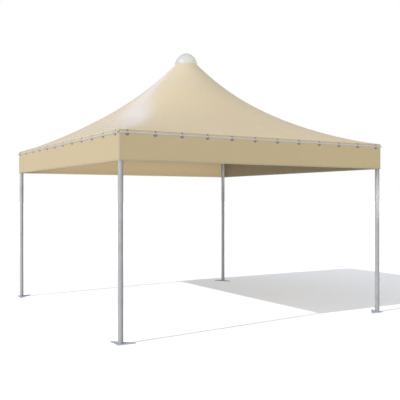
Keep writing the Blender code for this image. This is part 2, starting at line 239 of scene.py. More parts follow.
@dataclass(frozen=True, kw_only=True)
class CoatedPolyester(Finish):
    """PVC-coated polyester: a woven scrim under a smooth calendered coat.

    The coat gives the eye a satin skin with a broad soft highlight. The scrim shows through it
    as a faint grid, and the colour clouds a little over half a metre or so.

    Attributes:
        shade: Darker colour that clouds the coat.
        thread_mm: Spacing of the grid. Real threads lie 1 mm apart, too fine for the render, so
            the grid is drawn wider, at the spacing of the scrim's bundles.
        cloud_mm: Size of the clouds of colour.
        painted_reflection: Greyer, bluer colour painted on the coat high on the roof, as a
            painted reflection of a cool light there, or nothing where the cloth is the same all
            the way up.
        painted_reflection_heights: Heights between which the cloth turns to that colour.
    """

    shade: str
    thread_mm: float = 4.0
    cloud_mm: float = 600.0
    painted_reflection: str = ""
    painted_reflection_heights: tuple[float, float] = (2.95, 3.3)
    swing: tuple[float, float] = (-0.04, 0.04)
    relief: tuple[float, float] = (0.12, 0.0001)

    def make(self) -> Material:
        """Build the material.

        Returns:
            The new material.
        """
        material, tree, place = self.start({"IOR": 1.5, "Specular IOR Level": 0.2})
        clouds = add_node(
            tree, "ShaderNodeTexNoise",
            {"Scale": 1000 / self.cloud_mm, "Detail": 3.0, "Roughness": 0.5}, {"Vector": place})
        colour = add_node(
            tree, "ShaderNodeMix", {"A": linear(self.colour), "B": linear(self.shade)},
            {"Factor": clouds.outputs["Fac"]}, data_type="RGBA")
        # Painted reflection: towards the peak the coat turns greyer and bluer, for the cool gloss
        # there.
        if self.painted_reflection:
            height = add_node(tree, "ShaderNodeSeparateXYZ", None, {"Vector": place})
            share = add_node(
                tree, "ShaderNodeMapRange",
                {"From Min": self.painted_reflection_heights[0], "From Max": self.painted_reflection_heights[1]},
                {"Value": height.outputs["Z"]})
            colour = add_node(
                tree, "ShaderNodeMix", {"B": linear(self.painted_reflection)},
                {"Factor": share.outputs["Result"], "A": colour.outputs["Result"]},
                data_type="RGBA")
        tree.links.new(colour.outputs["Result"], shader_of(material).inputs["Base Color"])
        laid = add_node(tree, "ShaderNodeUVMap", uv_map=THREADS).outputs["UV"]
        warp, weft = (
            add_node(tree, "ShaderNodeTexWave", {"Scale": WAVE_SCALE_MM / self.thread_mm},
                     {"Vector": laid}, wave_type="BANDS", bands_direction=direction)
            for direction in ("X", "Y"))
        grid = add_node(
            tree, "ShaderNodeMath", None,
            {0: warp.outputs["Fac"], 1: weft.outputs["Fac"]}, operation="MAXIMUM")
        return self.end(material, clouds.outputs["Fac"], grid.outputs[0])


@dataclass(frozen=True, kw_only=True)
class GalvanisedSteel(Finish):
    """Hot-dip galvanised steel: a cold grey zinc skin with frost-like crystals.

    The crystals give the eye a faint mottle of lighter and darker patches, and the skin
    reflects softly, brightest where it turns towards the light.

    Attributes:
        shade: Colour of the darker crystals.
        metallic: How far the skin acts as bare metal. Weathered zinc carries a pale oxide film,
            so it stays low, and a bright new plating comes near 1.
        sheen: Strength of the film's own reflection, 0.5 for an even film and less where it
            has gone chalky.
        crystal_mm: Size of the crystals.
        streak_mm: Spacing of the broader streaks.
        grain_mm: Size of the skin's grain. Real grain is finer than 1 mm, too fine for the
            render, so it is drawn wider.
    """

    shade: str
    metallic: float = 0.1
    sheen: float = 0.2
    crystal_mm: float = 14.0
    streak_mm: float = 1000 / 9
    grain_mm: float = 3.0
    swing: tuple[float, float] = (-0.06, 0.08)
    relief: tuple[float, float] = (0.15, 0.0004)

    def make(self) -> Material:
        """Build the material.

        Returns:
            The new material.
        """
        material, tree, place = self.start(
            {"Metallic": self.metallic, "Specular IOR Level": self.sheen})
        crystals = add_node(
            tree, "ShaderNodeTexVoronoi", {"Scale": 1000 / self.crystal_mm, "Randomness": 1.0},
            {"Vector": place}, feature="F1")
        tone = add_node(
            tree, "ShaderNodeSeparateColor", None, {"Color": crystals.outputs["Color"]})
        streaks = add_node(
            tree, "ShaderNodeTexNoise", {"Scale": 1000 / self.streak_mm, "Detail": 4.0},
            {"Vector": place})
        blend = add_node(
            tree, "ShaderNodeMath", {1: 0.5}, {0: tone.outputs[0], 2: streaks.outputs["Fac"]},
            operation="MULTIPLY_ADD")
        colour = add_node(
            tree, "ShaderNodeMix", {"A": linear(self.shade), "B": linear(self.colour)},
            {"Factor": blend.outputs[0]}, data_type="RGBA")
        tree.links.new(colour.outputs["Result"], shader_of(material).inputs["Base Color"])
        grain = add_node(
            tree, "ShaderNodeTexNoise", {"Scale": 1000 / self.grain_mm, "Detail": 3.0},
            {"Vector": place})
        return self.end(material, tone.outputs[1], grain.outputs["Fac"])


@dataclass(frozen=True, kw_only=True)
class MouldedPlastic(Finish):
    """Injection-moulded or pressed plastic with an even, finely grained skin.

    The fine grain gives the eye a soft gloss with no sharp reflections.

    Attributes:
        grain_mm: Spacing of the moulded grain. Real grain is about 0.2 mm, too fine for the
            render, so it is drawn wider.
    """

    grain_mm: float = 2.0

    def make(self) -> Material:
        """Build the material.

        Returns:
            The new material.
        """
        material, tree, place = self.start({"Base Color": linear(self.colour), "IOR": 1.5})
        grain = add_node(
            tree, "ShaderNodeTexNoise", {"Scale": 1000 / self.grain_mm, "Detail": 2.0},
            {"Vector": place})
        return self.end(material, grain.outputs["Fac"], grain.outputs["Fac"])


@dataclass(frozen=True)
class StudioFloor:
    """Matt seamless floor that runs out to a white horizon.

    Attributes:
        colour: Colour of the floor, as sRGB hex.
    """

    colour: str = "#F8FAFE"

    def make(self) -> Material:
        """Return the new material."""
        constants = {"Base Color": linear(self.colour), "Roughness": 1.0, "Specular IOR Level": 0.0}
        return new_material("studio_floor_paint", constants)


@dataclass
class Finishes:
    """Every material of the tent, made once."""

    # High on the roof the coat is painted greyer and bluer, a painted reflection.
    roof: Material = field(default_factory=CoatedPolyester(
        "pvc_coated_polyester_roof", "#B7A889", 0.28, shade="#B2A283", painted_reflection="#B0A388").make)
    # The valances are the roof's cloth painted darker: painted shade on the upright strips and the
    # roof's skirt.
    valance: Material = field(default_factory=CoatedPolyester(
        "pvc_coated_polyester_valance", "#9F8F6D", 0.5, shade="#9B8B69").make)
    # The valances' inner face: the same cloth painted darker still, as painted shade under the
    # roof.
    painted_shade_reverse: Material = field(default_factory=CoatedPolyester(
        "pvc_coated_polyester_reverse", "#8F7F63", 0.6, shade="#8B7C5F").make)
    hem: Material = field(default_factory=CoatedPolyester(
        "pvc_coated_polyester_hem", "#948A6F", 0.5, shade="#90866B").make)
    tube: Material = field(default_factory=GalvanisedSteel(
        "galvanised_steel_tube", "#7F7E7B", 0.5, shade="#6D6C6C").make)
    plate: Material = field(default_factory=GalvanisedSteel(
        "galvanised_steel_plate", "#A6A8AB", 0.75, shade="#8C8D92").make)
    rail: Material = field(default_factory=GalvanisedSteel(
        "galvanised_steel_rail", "#A3A19B", 0.7, shade="#97958F", sheen=0.15).make)
    # Grey zinc, with a warm beige tint that is a painted reflection of the cloth round the rod.
    rod: Material = field(default_factory=GalvanisedSteel(
        "galvanised_steel_rod", "#AEA691", 0.6, shade="#A49C88").make)
    bolt: Material = field(default_factory=GalvanisedSteel(
        "zinc_plated_steel_bolt", "#BDBEC2", 0.3, shade="#ADAFB4", metallic=0.8, sheen=0.5).make)
    cap: Material = field(default_factory=MouldedPlastic("moulded_abs_cap", "#A1A098", 0.45).make)
    # Rubber for the rail plugs, and the dark clip pads and tabs, which are painted shade.
    pad: Material = field(default_factory=MouldedPlastic("moulded_rubber_pad", "#605E5A", 0.6).make)
    strap: Material = field(default_factory=MouldedPlastic(
        "moulded_nylon_strap", "#868689", 0.5).make)


def finished(
    bm: BMesh,
    name: str,
    material: Material,
    turn: float = 0.0,
    crease: float = 35.0,
) -> Object:
    """Turn a bmesh into a piece of the tent that rides on its body.

    Args:
        bm: Shape, modelled at the front or the front left corner. It stays usable.
        name: Name of the piece.
        material: Finish of the piece.
        turn: Angle that sends the piece to its own side or corner.
        crease: Angle in degrees past which an edge stays crisp.

    Returns:
        The new object, at the origin, with its place in its mesh.
    """
    mesh = bpy.data.meshes.new(name)
    bm.to_mesh(mesh)
    mesh.transform(Matrix.Rotation(turn, 4, "Z"))
    mesh.shade_smooth()
    mesh.set_sharp_from_angle(angle=math.radians(crease))
    mesh.materials.append(material)
    piece = bpy.data.objects.new(name, mesh)
    bpy.context.scene.collection.objects.link(piece)
    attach(piece, BODY)
    return piece


def all_round(
    bm: BMesh,
    spots: type[Side] | type[Corner],
    name: str,
    material: Material,
    node: str = "",
) -> list[Object]:
    """Turn a shape into one piece for each side or corner of the tent, and free it.

    Args:
        bm: Shape, modelled at the front or the front left corner.
        spots: The sides or the corners.
        name: Name of the pieces, before that of the side or corner.
        material: Finish of the pieces.
        node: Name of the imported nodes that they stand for, or nothing where they are new.

    Returns:
        The new pieces, in order round the tent.
    """
    pieces = []
    for spot in spots:
        piece = finished(bm, f"{name}_{spot.name}", material, QUARTER * spot.value)
        if node:
            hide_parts(f"{node}_{spot.name}")
        pieces.append(piece)
    bm.free()
    return pieces


def cast_no_shade(piece: Object) -> None:
    """Keep a piece from shading others, as the photograph shows no shade of it."""
    piece.visible_shadow = False
    piece.visible_diffuse = False


def thicken(piece: Object, thickness: float, offset: float, inner_material: int = 0) -> None:
    """Give a sheet its thickness, with a crisp rim so that its face shades evenly up to it.

    Args:
        piece: Piece that is one layer of faces.
        thickness: Thickness in metres.
        offset: -1 to thicken inwards, 0 both ways and 1 outwards.
        inner_material: Number of the material on the inner face.
    """
    bm = bmesh.new()
    bm.from_mesh(piece.data)
    for edge in bm.edges:
        if edge.is_boundary:
            edge.smooth = False
    bm.to_mesh(piece.data)
    bm.free()
    wall = piece.modifiers.new("thickness", "SOLIDIFY")
    wall.thickness = thickness
    wall.offset = offset
    wall.use_even_offset = True
    wall.material_offset = inner_material


def lay_threads(piece: Object) -> None:
    """Give a sheet a UV layer in metres, with the threads along and down its side of the tent.

    Args:
        piece: Sheet at its place on the tent.
    """
    mesh = piece.data
    layer = mesh.uv_layers.new(name=THREADS)
    for face in mesh.polygons:
        sideways = abs(face.center.x) > abs(face.center.y)
        for loop in face.loop_indices:
            x, y, z = mesh.vertices[mesh.loops[loop].vertex_index].co
            along, out = (y, abs(x)) if sideways else (x, abs(y))
            layer.data[loop].uv = (along, math.hypot(out, z))


def pour(part: BMesh, bm: BMesh) -> list[BMVert]:
    """Add a shape to another one.

    Args:
        part: Shape to add. It stays usable.
        bm: Shape that gets it.

    Returns:
        The added points.
    """
    before = set(bm.verts)
    mesh = bpy.data.meshes.new("part")
    part.to_mesh(mesh)
    bm.from_mesh(mesh)
    bpy.data.meshes.remove(mesh)
    return [vert for vert in bm.verts if vert not in before]


def sharp_edges(bm: BMesh, degrees: float) -> list[BMEdge]:
    """Return the edges whose faces turn by more than an angle."""
    return [edge for edge in bm.edges if edge.calc_face_angle(0.0) > math.radians(degrees)]


def ease_edges(bm: BMesh, edges: list[BMEdge], offset: float, segments: int) -> None:
    """Round edges off.

    Args:
        bm: Shape that has the edges.
        edges: Edges to round.
        offset: How far the rounding starts from the edge.
        segments: Number of faces across the rounding.
    """
    bmesh.ops.bevel(bm, geom=edges, affect="EDGES", offset=offset, segments=segments,
                    profile=0.5, material=-1)


def draped_grid(
    columns: int, rows: int, place: Callable[[int, int], Iterable[float]]
) -> BMesh:
    """Make a grid and lay each of its knots where the given rule says.

    Args:
        columns: Number of faces across.
        rows: Number of faces down.
        place: Gives a knot's place from its column and row.

    Returns:
        The grid.
    """
    bm = bmesh.new()
    bmesh.ops.create_grid(bm, x_segments=columns, y_segments=rows, size=1.0)
    for knot in bm.verts:
        column = round((knot.co.x + 1) / 2 * columns)
        row = round((1 - knot.co.y) / 2 * rows)
        knot.co = Vector(place(column, row))
    return bm


def turned(
    profile: Iterable[tuple[float, float]], steps: int, place: Matrix, closed: bool
) -> BMesh:
    """Spin a profile about its upright axis, as on a lathe, and put it in place.

    Args:
        profile: Radius and height of each point.
        steps: Number of steps round.
        place: Matrix that sends the lathe's axis to its place.
        closed: Whether the profile's last point joins its first, as in a tube's wall.

    Returns:
        The turned form.
    """
    bm = bmesh.new()
    line = [bm.verts.new((radius, 0.0, height)) for radius, height in profile]
    pairs = list(zip(line, line[1:])) + ([(line[-1], line[0])] if closed else [])
    edges = [bm.edges.new(pair) for pair in pairs]
    bmesh.ops.spin(
        bm, geom=line + edges, axis=(0, 0, 1), cent=(0, 0, 0), dvec=(0, 0, 0),
        angle=2 * math.pi, steps=steps, use_merge=True, use_duplicate=False)
    bmesh.ops.remove_doubles(bm, verts=bm.verts, dist=TOUCH)
    bmesh.ops.recalc_face_normals(bm, faces=bm.faces)
    bmesh.ops.transform(bm, verts=bm.verts, matrix=place)
    return bm


def tube_profile(
    radius: float, wall: float, length: float, ease: float
) -> list[tuple[float, float]]:
    """Section through a tube's wall, with its outer rims eased.

    Args:
        radius: Outer radius.
        wall: Thickness of the wall, or the radius where the tube is solid.
        length: Length of the tube.
        ease: How far the outer rims are cut back.

    Returns:
        Radius and height of each point, once round the wall.
    """
    inner = radius - wall
    return [
        (inner, 0.0), (radius - ease, 0.0), (radius, ease),
        (radius, length - ease), (radius - ease, length), (inner, length),
    ]


def pointing(direction: Iterable[float], start: Iterable[float]) -> Matrix:
    """Return the matrix that sends +Z along a direction from a start point."""
    turn = Vector(direction).to_track_quat("Z", "Y").to_matrix().to_4x4()
    return Matrix.Translation(Vector(start)) @ turn


@dataclass(frozen=True)
class HexBolt:
    """Zinc-plated hexagon bolt head on a washer.

    Attributes:
        thread: Diameter of its thread, and radius of its washer.
        washer: Thickness of the washer.
        washer_ease: How far the washer's rim is cut back.
        head: Height of the head.
        half_flats: Half the width of the head across its flats.
        head_ease: How far the head's upper rim is cut back.
    """

    thread: float = 0.010
    washer: float = 0.002
    washer_ease: float = 0.0004
    head: float = 0.0064
    half_flats: float = 0.0085
    head_ease: float = 0.0012

    def shape(self, place: Matrix) -> BMesh:
        """Make the head on its washer.

        Args:
            place: Matrix whose origin lies on the seat and whose +Z points out of it.

        Returns:
            The bolt.
        """
        profile = [(0.0, 0.0), (self.thread, 0.0), (self.thread, self.washer - self.washer_ease),
                   (self.thread - self.washer_ease, self.washer), (0.0, self.washer)]
        bm = turned(profile, 20, place, closed=False)
        corner = self.half_flats / math.cos(math.pi / 6)
        made = bmesh.ops.create_cone(
            bm, cap_ends=True, segments=6, radius1=corner, radius2=corner, depth=self.head,
            matrix=place @ Matrix.Translation((0, 0, self.washer + self.head / 2)))["verts"]
        axis = place.to_3x3() @ Vector((0, 0, 1))
        top = max(vert.co.dot(axis) for vert in made)
        rim = [edge for edge in {e for vert in made for e in vert.link_edges}
               if all(vert.co.dot(axis) > top - TOUCH for vert in edge.verts)]
        ease_edges(bm, rim, self.head_ease, 1)
        return bm


@dataclass
class Roof:
    """Stretched roof: one curved sheet of coated fabric with welded hips.

    Its rest shape is a net of pulled threads between the mast head and the eaves. Each inner
    knot rests where its four pulls cancel, which is one linear equation a knot.

    Attributes:
        half_side: From the tent's axis to the eaves.
        eaves: Height of the fold above the clamp rails.
        skirt_foot: Lower edge of the turned-down skirt.
        top: Height of the upper edge.
        top_radius: Radius of the upper edge.
        rows: Rows of knots from the mast head to the eaves.
        steps: Knots along one side.
        hoop_pull: Pull round the net at the eaves, where the radial pull is 1.
        hoop_grade: How the hoop pull changes with the row.
        radial_grade: How the radial pull changes with the row.
        fold_ease: How far the rounding of the fold starts from it.
        cloth: Thickness of the fabric as modelled.
        seam_width: Width of the welded overlap on each hip.
        seam_gap: Space between the overlap and the sheet.
        knots: Rows of knots, from the mast head to the skirt's foot, once the net is solved.
    """

    half_side: float = 2.0
    eaves: float = 2.358
    skirt_foot: float = 2.3205
    top: float = 3.630
    top_radius: float = 0.1605
    rows: int = 24
    steps: int = 28
    hoop_pull: float = 0.0254
    hoop_grade: float = -0.5
    radial_grade: float = 0.3
    fold_ease: float = 0.004
    cloth: float = 0.0012
    seam_width: float = 0.030
    seam_gap: float = 0.0001
    knots: list[np.ndarray] = field(default_factory=list)

    def stretch(self) -> None:
        """Solve the net's rest shape and keep its rows of knots."""
        around = 4 * self.steps
        knot = np.arange(around)
        side, share = knot // self.steps, (knot % self.steps / self.steps)[:, None]
        square = self.half_side * np.array([(-1, -1), (1, -1), (1, 1), (-1, 1)])
        edge = square[side] * (1 - share) + square[(side + 1) % 4] * share
        eaves = np.column_stack([edge, np.full(around, self.eaves)])
        front_left = -0.75 * math.pi
        angle = front_left + 2 * math.pi * knot / around
        ring = np.column_stack([self.top_radius * np.cos(angle), self.top_radius * np.sin(angle),
                                np.full(around, self.top)])
        count = (self.rows - 1) * around
        pull, load = np.zeros((count, count)), np.zeros((count, 3))
        fineness = (around / self.rows) ** 2
        for row in range(1, self.rows):
            here = (row - 1) * around + knot
            hoop = self.hoop_pull * fineness * (row / self.rows) ** self.hoop_grade
            for step in (-1, 1):
                radial = ((row + step / 2) / self.rows) ** self.radial_grade
                pull[here, here] += radial + hoop
                pull[here, (row - 1) * around + (knot + step) % around] -= hoop
                if row + step == 0:
                    load[here] += radial * ring
                elif row + step == self.rows:
                    load[here] += radial * eaves
                else:
                    pull[here, here + step * around] -= radial
        inner = np.linalg.solve(pull, load).reshape(self.rows - 1, around, 3)
        skirt = eaves.copy()
        skirt[:, 2] = self.skirt_foot
        self.knots = [ring, *inner, eaves, skirt]

    def sheet_shape(self) -> BMesh:
        """Lay the roof and its skirt over the knots, with a softly rounded fold.

        Returns:
            The sheet, as one layer. The skirt's faces take the second material, the darker
            valance cloth, as painted shade on the upright skirt.
        """
        around = 4 * self.steps
        bm = draped_grid(around, len(self.knots) - 1,
                         lambda column, row: self.knots[row][column % around])
        bmesh.ops.remove_doubles(bm, verts=bm.verts, dist=TOUCH)
        bmesh.ops.recalc_face_normals(bm, faces=bm.faces)
        fold = [edge for edge in bm.edges
                if all(abs(vert.co.z - self.eaves) < TOUCH for vert in edge.verts)]
        ease_edges(bm, fold, self.fold_ease, 3)
        for face in bm.faces:
            face.material_index = int(face.calc_center_median().z < self.eaves - self.fold_ease)
        return bm

    def seam_shape(self) -> BMesh:
        """Lay the welded overlaps inside the four hips, against the sheet.

        Returns:
            The overlaps, as one layer each.
        """
        bm = bmesh.new()
        # Faces across an overlap, and knots on each side of the hip that its shape is read from.
        columns, reach = 4, 4
        wanted = np.linspace(-self.seam_width / 2, self.seam_width / 2, columns + 1)
        for corner in Corner:
            near = corner.value * self.steps + np.arange(-reach, reach + 1)
            lines = []
            for row in self.knots[:-1]:
                points = row[near % (4 * self.steps)]
                gaps = np.linalg.norm(np.diff(points, axis=0), axis=1)
                along = np.concatenate([[0], np.cumsum(gaps)])
                along -= along[reach]
                lines.append(np.column_stack(
                    [np.interp(wanted, along, points[:, axis]) for axis in range(3)]))
            part = draped_grid(columns, len(lines) - 1, lambda column, row: lines[row][column])
            bmesh.ops.recalc_face_normals(part, faces=part.faces)
            if sum(face.normal.z for face in part.faces) < 0:
                bmesh.ops.reverse_faces(part, faces=part.faces)
            part.normal_update()
            for vert in part.verts:
                vert.co -= vert.normal * (self.cloth + self.seam_gap)
            pour(part, bm)
            part.free()
        return bm

    def build(self, finishes: Finishes) -> list[Object]:
        """Build the roof sheet and its seams.

        Args:
            finishes: Materials of the tent.

        Returns:
            The new pieces.
        """
        self.stretch()
        bm = self.sheet_shape()
        roof = finished(bm, "roof_sheet", finishes.roof, crease=60.0)
        bm.free()
        # The skirt takes the valance cloth, the roof's cloth painted darker as painted shade.
        roof.data.materials.append(finishes.valance)
        lay_threads(roof)
        thicken(roof, self.cloth, offset=-1.0)
        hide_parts(*[f"roof_panel_{side.name}" for side in Side])
        bm = self.seam_shape()
        seams = finished(bm, "roof_hip_seams", finishes.roof, crease=60.0)
        bm.free()
        lay_threads(seams)
        thicken(seams, self.cloth / 2, offset=-1.0)
        return [roof, seams]


@dataclass
class Valances:
    """Hanging strips below the eaves, each with a foot hem and welded end strips.

    Attributes:
        face: From the tent's axis to the outer face.
        half_length: Half the length of a strip.
        foot: Height of the lower edge.
        head: Height of the upper edge, behind the clamp rail.
        cloth: Thickness of the fabric as modelled.
        hem: Height of the foot hem.
        end_strip: Width of the doubled strip at each end.
        hem_half: Half the thickness of the hem, a sleeve round the edge.
        end_cloth: Thickness of the doubled strips.
        end_gap: Space between them and the valance.
        wave: How far the foot of the strip wanders in and out.
        ripples: Share, rate along the strip and phase of each of the two waves in it.
        columns: Faces along a strip.
        rows: Faces down a strip.
    """

    face: float = 2.0
    half_length: float = 1.9917
    foot: float = 2.010
    head: float = 2.3197
    cloth: float = 0.0012
    hem: float = 0.016
    end_strip: float = 0.042
    hem_half: float = 0.0016
    end_cloth: float = 0.0006
    end_gap: float = 0.0002
    wave: float = 0.0012
    ripples: tuple[tuple[float, float, float], ...] = ((1.0, 5.1, 0.7), (0.5, 12.7, 2.1))
    columns: int = 128
    rows: int = 10

    def surface(self, along: float, height: float, lift: float) -> Vector:
        """Find a point of the front strip's outer face.

        Args:
            along: Place along the strip, from its middle.
            height: Height above the ground.
            lift: How far the point stands off the strip.

        Returns:
            The point. It never lies further out than the flat face, and both ends are flat.
        """
        drop = (self.head - height) / (self.head - self.foot)
        ends = 1 - (along / self.half_length) ** 8
        sway = sum(share * math.sin(rate * along + phase) for share, rate, phase in self.ripples)
        inward = self.wave * drop * ends * (0.5 + 0.33 * sway)
        return Vector((along, -self.face - lift + max(inward, 0.0), height))

    def cloth_grid(self, span: tuple[float, float], heights: tuple[float, float],
                   cells: tuple[int, int], lift: float) -> BMesh:
        """Lay a strip of cloth on the front strip's surface.

        Args:
            span: Left and right ends along the strip.
            heights: Upper and lower edges.
            cells: Number of faces across and down.
            lift: How far it stands off.

        Returns:
            The strip, as one layer facing out.
        """
        bm = draped_grid(cells[0], cells[1], lambda column, row: self.surface(
            span[0] + (span[1] - span[0]) * column / cells[0],
            heights[0] + (heights[1] - heights[0]) * row / cells[1], lift))
        bm.normal_update()
        inward = [face for face in bm.faces if face.normal.y > 0]
        bmesh.ops.reverse_faces(bm, faces=inward)
        return bm

    def hem_shape(self) -> BMesh:
        """Fold the foot hem round the lower edge of the front strip.

        Returns:
            The hem, as one layer facing out.
        """
        half, turn_steps = self.hem_half, 4
        section = [(-half, self.hem)]
        for step in range(turn_steps + 1):
            angle = math.pi * (1 + step / turn_steps)
            section.append((half * math.cos(angle), half * (1 + math.sin(angle))))
        section.append((half, self.hem))
        bm = draped_grid(self.columns, len(section) - 1, lambda column, row: self.surface(
            self.half_length * (2 * column / self.columns - 1), self.foot + section[row][1],
            -(self.cloth / 2 + section[row][0])))
        bmesh.ops.recalc_face_normals(bm, faces=bm.faces)
        bm.normal_update()
        if sum(face.normal.z for face in bm.faces) > 0:
            bmesh.ops.reverse_faces(bm, faces=bm.faces)
        return bm

    def end_strip_shape(self) -> BMesh:
        """Lay the doubled strips on both ends of the front strip.

        Returns:
            The strips, as one layer each facing out.
        """
        bm = bmesh.new()
        for start in (-self.half_length, self.half_length - self.end_strip):
            part = self.cloth_grid((start, start + self.end_strip),
                                   (self.head, self.foot + self.hem), (3, self.rows), self.end_gap)
            pour(part, bm)
            part.free()
        return bm

    def build(self, finishes: Finishes) -> list[Object]:
        """Build the four strips with their hems and end strips.

        Args:
            finishes: Materials of the tent.

        Returns:
            The new pieces.
        """
        whole = (-self.half_length, self.half_length)
        sheet = self.cloth_grid(whole, (self.head, self.foot), (self.columns, self.rows), 0.0)
        cloths = all_round(sheet, Side, "valance_cloth", finishes.valance, "valance")
        hems = all_round(self.hem_shape(), Side, "valance_hem", finishes.hem)
        strips = all_round(self.end_strip_shape(), Side, "valance_end_strips", finishes.valance)
        for side, valance, hem, ends in zip(Side, cloths, hems, strips):
            # Inner faces take the darker cloth, painted shade under the roof.
            valance.data.materials.append(finishes.painted_shade_reverse)
            for piece in (valance, hem, ends):
                lay_threads(piece)
            thicken(valance, self.cloth, offset=-1.0, inner_material=1)
            thicken(ends, self.end_cloth, offset=1.0)
        return cloths + hems + strips


@dataclass
class ClampRails:
    """Round rails that press the fabric to the beams, each held by twelve clips.

    Attributes:
        diameter: Outer diameter of the rail.
        wall: Thickness of its wall.
        axis: From the tent's axis to the rail's.
        height: Height of the rail's axis.
        half_length: Half the length of a rail.
        clips: Number of clips on a rail.
        pitch: Spacing of the clips.
        ease: How far the rail's outer rims are cut back.
        play: Space round a plug in the rail, and between the rail and a strap.
        plug_depth: Length of a plug.
        plug_ease: How far its rim is cut back.
        strap_width: Width of the strap over the rail at each clip.
        strap_thickness: Thickness of the strap.
        strap_ease: Rounding of its edges.
        shade_pad_radius: Radius of the dark half-moon pad below the rail at each clip, a sheet
            of painted shade.
        shade_pad_thickness: Thickness of the pad and of the dark tab above the rail.
        shade_pad_ease: Rounding of their edges.
        shade_tab_size: Width and height of the tab, painted shade above the rail.
        tuck: How far pad and tab reach behind the rail.
    """

    diameter: float = 0.0213
    wall: float = 0.002
    axis: float = 2.01095
    height: float = 2.320
    half_length: float = 1.9997
    clips: int = 12
    pitch: float = 0.346
    ease: float = 0.0008
    play: float = 0.0002
    plug_depth: float = 0.012
    plug_ease: float = 0.0004
    strap_width: float = 0.018
    strap_thickness: float = 0.0018
    strap_ease: float = 0.0004
    shade_pad_radius: float = 0.0265
    shade_pad_thickness: float = 0.002
    shade_pad_ease: float = 0.0005
    shade_tab_size: tuple[float, float] = (0.017, 0.025)
    tuck: float = 0.001

    def rail_shape(self) -> BMesh:
        """Turn the front rail.

        Returns:
            The rail.
        """
        place = pointing((1, 0, 0), (-self.half_length, -self.axis, self.height))
        profile = tube_profile(self.diameter / 2, self.wall, 2 * self.half_length, self.ease)
        return turned(profile, 24, place, closed=True)

    def plug_shape(self) -> BMesh:
        """Turn the two plugs in the ends of the front rail.

        Returns:
            Both plugs.
        """
        bm = bmesh.new()
        bore = self.diameter / 2 - self.wall
        radius = bore - self.play
        profile = [(radius, -self.plug_depth), (radius, -self.plug_ease),
                   (radius - self.plug_ease, 0.0), (0.6 * bore, 0.0), (0.0, 0.0)]
        for sign in (-1, 1):
            start = (sign * (self.half_length - self.ease), -self.axis, self.height)
            plug = turned(profile, 20, pointing((sign, 0, 0), start), closed=False)
            pour(plug, bm)
            plug.free()
        return bm

    def strap_shape(self) -> BMesh:
        """Bend one strap over the outer half of the front rail, at its middle.

        Returns:
            The strap.
        """
        bm = bmesh.new()
        half = self.strap_width / 2
        inner = self.diameter / 2 + self.play
        outer = inner + self.strap_thickness
        corners = [(-half, inner), (half, inner), (half, outer), (-half, outer)]
        ring = [bm.verts.new((x, 0.0, radius)) for x, radius in corners]
        edges = [bm.edges.new(pair) for pair in zip(ring, ring[1:] + ring[:1])]
        bmesh.ops.spin(
            bm, geom=ring + edges, axis=(1, 0, 0), cent=(0, 0, 0), dvec=(0, 0, 0),
            angle=math.pi, steps=14, use_merge=False, use_duplicate=False)
        bmesh.ops.holes_fill(bm, edges=[edge for edge in bm.edges if edge.is_boundary], sides=0)
        bmesh.ops.recalc_face_normals(bm, faces=bm.faces)
        ease_edges(bm, sharp_edges(bm, 40.0), self.strap_ease, 2)
        bmesh.ops.translate(bm, verts=bm.verts, vec=(0.0, -self.axis, self.height))
        return bm

    def shade_pad_shape(self) -> BMesh:
        """Cut one half-moon pad below the rail and its tab above it, at the rail's middle.

        Returns:
            The pad and the tab.
        """
        bm = bmesh.new()
        radius = self.diameter / 2
        face = -self.axis + radius
        bmesh.ops.create_circle(bm, cap_ends=True, segments=32, radius=self.shade_pad_radius)
        bmesh.ops.bisect_plane(bm, geom=bm.verts[:] + bm.edges[:] + bm.faces[:], dist=TOUCH,
                               plane_co=(0, self.tuck, 0), plane_no=(0, 1, 0), clear_outer=True)
        raised = bmesh.ops.extrude_face_region(bm, geom=bm.faces[:])["geom"]
        top = [item for item in raised if isinstance(item, BMVert)]
        bmesh.ops.translate(bm, verts=top, vec=(0.0, 0.0, self.shade_pad_thickness))
        place = Matrix.Translation((0, face, self.height - radius + self.tuck))
        bmesh.ops.transform(bm, verts=bm.verts, matrix=place @ Matrix.Rotation(QUARTER, 4, "X"))
        half_moon = set(bm.verts)
        bmesh.ops.create_cube(bm, size=1.0)
        tab = [vert for vert in bm.verts if vert not in half_moon]
        width, height = self.shade_tab_size
        bmesh.ops.scale(bm, verts=tab, vec=(width, self.shade_pad_thickness, height))
        bmesh.ops.translate(bm, verts=tab, vec=(
            0.0, face - self.shade_pad_thickness / 2, self.height + radius + height / 2 - self.tuck))
        bmesh.ops.recalc_face_normals(bm, faces=bm.faces)
        ease_edges(bm, sharp_edges(bm, 60.0), self.shade_pad_ease, 2)
        return bm

    def repeated(self, one: BMesh) -> BMesh:
        """Repeat a shape at each clip of the front rail.

        Args:
            one: Shape at the middle of the rail. It is used up.

        Returns:
            All copies in one bmesh.
        """
        bm = bmesh.new()
        for clip in range(self.clips):
            shift = (clip - (self.clips - 1) / 2) * self.pitch
            bmesh.ops.translate(bm, verts=pour(one, bm), vec=(shift, 0.0, 0.0))
        one.free()
        return bm

    def build(self, finishes: Finishes) -> list[Object]:
        """Build the four rails with their plugs, straps and pads.

        Args:
            finishes: Materials of the tent.

        Returns:
            The new pieces.
        """
        # The pads and tabs are dark sheets of painted shade at each clip.
        straps, pads = self.repeated(self.strap_shape()), self.repeated(self.shade_pad_shape())
        pieces = [
            *all_round(self.rail_shape(), Side, "rail_tube", finishes.rail,
                       "clamp_rail"),
            *all_round(self.plug_shape(), Side, "rail_plugs", finishes.pad),
            *all_round(straps, Side, "clip_straps", finishes.strap),
            *all_round(pads, Side, "clip_pads", finishes.pad),
        ]
        for piece in pieces:
            cast_no_shade(piece)
        return pieces


